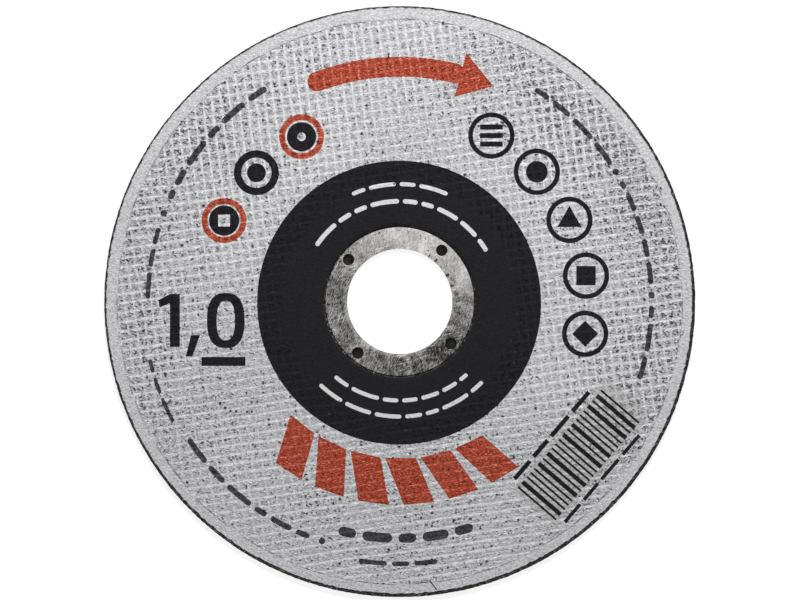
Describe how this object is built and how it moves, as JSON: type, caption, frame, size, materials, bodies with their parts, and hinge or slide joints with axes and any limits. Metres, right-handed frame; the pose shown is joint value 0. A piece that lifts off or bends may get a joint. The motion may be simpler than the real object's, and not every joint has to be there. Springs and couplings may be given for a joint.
{
  "type": "cut-off wheel",
  "caption": "Thin flat cut-off wheel: a glass-mesh abrasive disc with a paper face label and a drawn metal ring that lines its bore, for cutting metal on an angle grinder.",
  "frame": {"origin": "centre of the bore in the plane of the back face, which the wheel lies on", "axes": "+Z along the bore axis, out of the labelled front face; +X to the right and +Y to the top of the label as it is read"},
  "size_m": [0.125, 0.125, 0.001],
  "materials": {
    "abrasive": "matte, gritty",
    "label_paper": "matte print over pressed mesh",
    "ring_steel": "dull, scratched"
  },
  "bodies": {
    "root": {"abrasive_disc": "abrasive", "face_label": "label_paper", "hub_ring": "ring_steel"}
  },
  "joints": []
}
